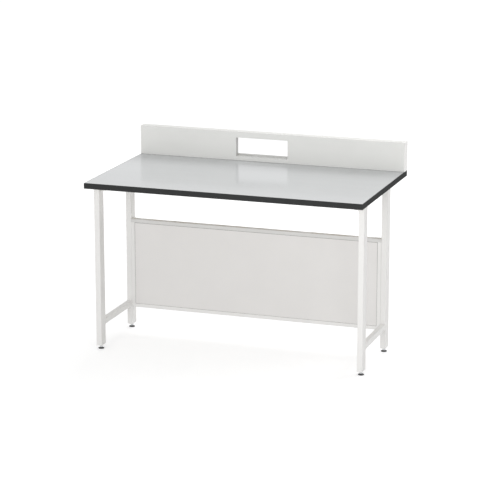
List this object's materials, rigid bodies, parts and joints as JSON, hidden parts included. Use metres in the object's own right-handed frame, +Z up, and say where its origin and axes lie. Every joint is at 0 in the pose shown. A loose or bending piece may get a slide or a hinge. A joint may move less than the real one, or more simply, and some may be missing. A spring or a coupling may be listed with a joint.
{
  "type": "laboratory bench",
  "caption": "Laboratory bench: laminate worktop with black edge band, low upstand with a service window, tube frame, rear modesty panel, levelling feet.",
  "frame": {"origin": "on the floor, under the centre of the bench's outer box, with the levelling feet screwed right in", "axes": "+X to the right as seen by a user standing in front, +Y from the front edge to the back, +Z up"},
  "size_m": [1.5, 0.85, 1.081],
  "materials": {
    "frame_coat": "light grey powder coat, fine satin texture",
    "panel_coat": "light grey powder coat on sheet, satin",
    "upstand_coat": "light grey powder coat on folded sheet, satin",
    "laminate": "grey high-pressure laminate, fine satin grain",
    "backing": "plain backing laminate, matt",
    "chipboard": "raw chipboard, hidden between the faces and the bands",
    "edge_band": "black plastic edge band, satin",
    "zinc_steel": "bright zinc plate",
    "foot_plastic": "moulded black polyamide",
    "plug_plastic": "light grey moulded polyethylene"
  },
  "bodies": {
    "bench": {"arm_left": "frame_coat", "arm_plug_front_left": "plug_plastic", "arm_plug_front_right": "plug_plastic", "arm_plug_rear_left": "plug_plastic", "arm_plug_rear_right": "plug_plastic", "arm_right": "frame_coat", "cap_screws": "zinc_steel", "edge_band_front": "edge_band", "edge_band_left": "edge_band", "edge_band_rear": "edge_band", "edge_band_right": "edge_band", "foot_insert_front_left": "zinc_steel", "foot_insert_front_right": "zinc_steel", "foot_insert_rear_left": "zinc_steel", "foot_insert_rear_right": "zinc_steel", "front_leg_left": "frame_coat", "front_leg_right": "frame_coat", "lock_nut_front_left": "zinc_steel", "lock_nut_front_right": "zinc_steel", "lock_nut_rear_left": "zinc_steel", "lock_nut_rear_right": "zinc_steel", "panel_bolts": "zinc_steel", "panel_bracket_lower_left": "frame_coat", "panel_bracket_lower_right": "frame_coat", "panel_bracket_upper_left": "frame_coat", "panel_bracket_upper_right": "frame_coat", "panel_rail_bottom": "frame_coat", "panel_rail_top": "frame_coat", "panel_screws": "zinc_steel", "panel_stile_left": "frame_coat", "panel_stile_right": "frame_coat", "panel_tray": "panel_coat", "rail_bolts": "zinc_steel", "rail_front": "frame_coat", "rail_inserts": "zinc_steel", "rail_middle": "frame_coat", "rail_rear": "frame_coat", "rear_leg_left": "frame_coat", "rear_leg_right": "frame_coat", "stretcher_left": "frame_coat", "stretcher_right": "frame_coat", "upstand_end_cap_left": "frame_coat", "upstand_end_cap_right": "frame_coat", "upstand_screws": "zinc_steel", "upstand_shell": "upstand_coat", "window_liner": "upstand_coat", "worktop_backing": "backing", "worktop_core": "chipboard", "worktop_laminate": "laminate", "worktop_screws": "zinc_steel"},
    "front_left_pad": {"foot_pad_front_left": "foot_plastic"},
    "front_left_stud": {"foot_stud_front_left": "zinc_steel"},
    "front_right_pad": {"foot_pad_front_right": "foot_plastic"},
    "front_right_stud": {"foot_stud_front_right": "zinc_steel"},
    "rear_left_pad": {"foot_pad_rear_left": "foot_plastic"},
    "rear_left_stud": {"foot_stud_rear_left": "zinc_steel"},
    "rear_right_pad": {"foot_pad_rear_right": "foot_plastic"},
    "rear_right_stud": {"foot_stud_rear_right": "zinc_steel"}
  },
  "joints": [
    {"name": "front_left_lift", "type": "slide", "parent": "bench", "child": "front_left_pad", "axis": [0, 0, -1], "range_m": [0, 0.02]},
    {"name": "front_left_turn", "type": "hinge", "parent": "front_left_pad", "child": "front_left_stud", "pos_m": [-0.719, -0.305, 0.03], "axis": [0, 0, -1], "range_deg": [0, 4800]},
    {"name": "front_right_lift", "type": "slide", "parent": "bench", "child": "front_right_pad", "axis": [0, 0, -1], "range_m": [0, 0.02]},
    {"name": "front_right_turn", "type": "hinge", "parent": "front_right_pad", "child": "front_right_stud", "pos_m": [0.719, -0.305, 0.03], "axis": [0, 0, -1], "range_deg": [0, 4800]},
    {"name": "rear_left_lift", "type": "slide", "parent": "bench", "child": "rear_left_pad", "axis": [0, 0, -1], "range_m": [0, 0.02]},
    {"name": "rear_left_turn", "type": "hinge", "parent": "rear_left_pad", "child": "rear_left_stud", "pos_m": [-0.719, 0.13, 0.03], "axis": [0, 0, -1], "range_deg": [0, 4800]},
    {"name": "rear_right_lift", "type": "slide", "parent": "bench", "child": "rear_right_pad", "axis": [0, 0, -1], "range_m": [0, 0.02]},
    {"name": "rear_right_turn", "type": "hinge", "parent": "rear_right_pad", "child": "rear_right_stud", "pos_m": [0.719, 0.13, 0.03], "axis": [0, 0, -1], "range_deg": [0, 4800]}
  ],
  "couplings": [
    {"joint": "front_left_turn", "follows": "front_left_lift", "rad_per_m": 4188.8},
    {"joint": "front_right_turn", "follows": "front_right_lift", "rad_per_m": 4188.8},
    {"joint": "rear_left_turn", "follows": "rear_left_lift", "rad_per_m": 4188.8},
    {"joint": "rear_right_turn", "follows": "rear_right_lift", "rad_per_m": 4188.8}
  ]
}
